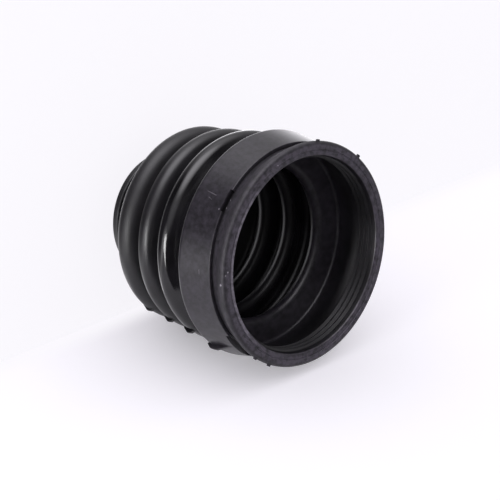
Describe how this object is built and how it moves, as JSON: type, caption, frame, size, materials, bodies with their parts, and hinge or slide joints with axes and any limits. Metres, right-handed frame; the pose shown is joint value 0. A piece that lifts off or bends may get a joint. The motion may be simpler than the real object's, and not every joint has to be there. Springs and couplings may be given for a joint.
{
  "type": "bellows boot",
  "caption": "One-piece moulded rubber bellows boot with a flared wide mouth, inner sealing ribs, a plain band, rounded corrugations and a narrow clamped neck.",
  "frame": {"origin": "centre of the small end face, which the boot stands on", "axes": "+Z along the boot's axis from the small end to the wide mouth; +Y towards the mould parting line that carries the flash tabs; +X towards the narrower notch in the band"},
  "size_m": [0.091, 0.0928, 0.0855],
  "materials": {
    "moulded_rubber": "satin"
  },
  "bodies": {
    "root": {"bellows_boot": "moulded_rubber"}
  },
  "joints": []
}
